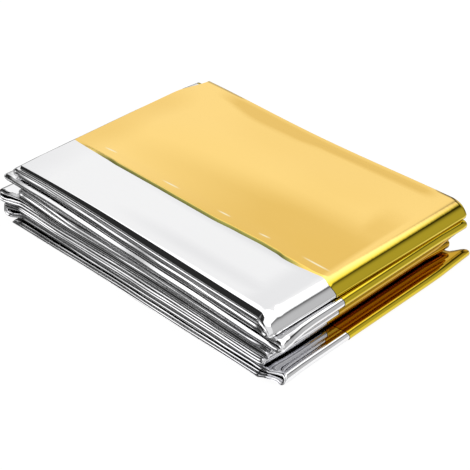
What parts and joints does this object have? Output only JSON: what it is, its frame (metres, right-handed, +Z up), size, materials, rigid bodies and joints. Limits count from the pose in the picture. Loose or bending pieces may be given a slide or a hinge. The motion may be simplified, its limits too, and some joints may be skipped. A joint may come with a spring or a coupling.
{
  "type": "emergency foil blanket",
  "caption": "Two-colour metallised film blanket, folded and pleated into a flat pack for a first-aid kit.",
  "frame": {"origin": "middle of the footprint, on the surface that the pack rests on", "axes": "+X along the pack towards its right end of six bends, -Y towards the long side of silver fold edges, +Z up"},
  "size_m": [0.1406, 0.0953, 0.0249],
  "materials": {
    "gold_film": "gold-tinted, vacuum-metallised film, mirror bright",
    "silver_film": "silver, vacuum-metallised film, mirror bright"
  },
  "bodies": {
    "root": {"foil_blanket": "gold_film"}
  },
  "joints": []
}
